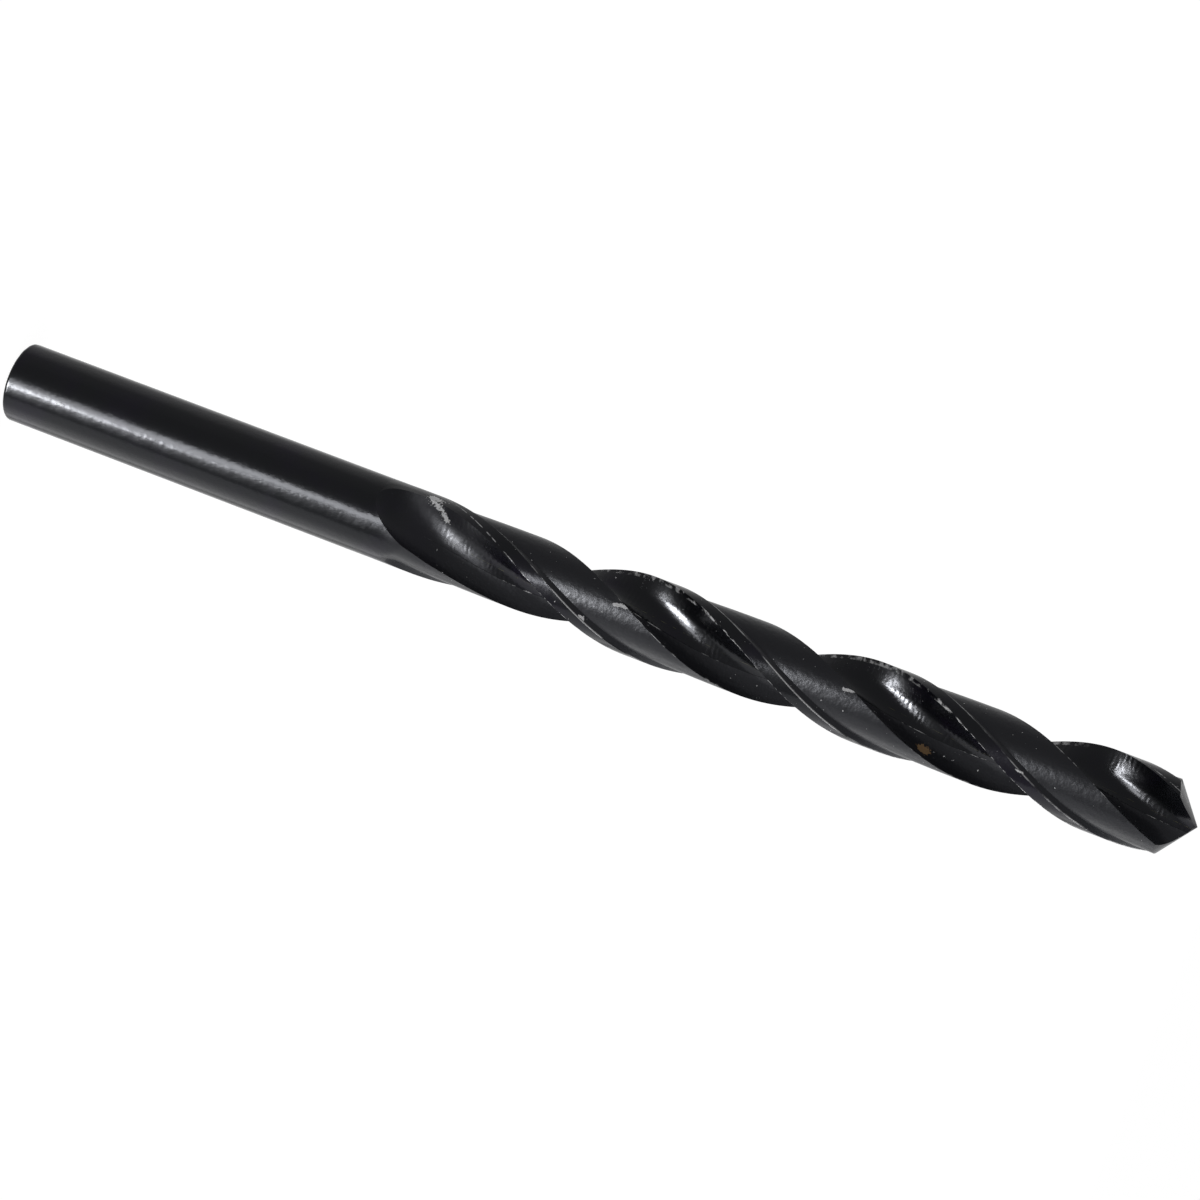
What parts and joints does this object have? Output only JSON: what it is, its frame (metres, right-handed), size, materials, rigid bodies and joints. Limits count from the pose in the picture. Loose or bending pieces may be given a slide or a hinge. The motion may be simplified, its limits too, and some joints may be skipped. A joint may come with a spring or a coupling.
{
  "type": "twist drill bit",
  "caption": "Jobber length twist drill bit with a plain round shank, right-hand spiral flutes, narrow margins and a conical point.",
  "frame": {"origin": "centre of the flat shank end, on the axis of the bit", "axes": "+Z along the axis from the shank end to the point, +X along the lip of the first cutting edge"},
  "size_m": [0.0072, 0.0072, 0.108],
  "materials": {
    "black_oxide_steel": "black oxide over ground steel, semi-gloss, with a slight violet tone"
  },
  "bodies": {
    "root": {"drill_bit": "black_oxide_steel"}
  },
  "joints": []
}
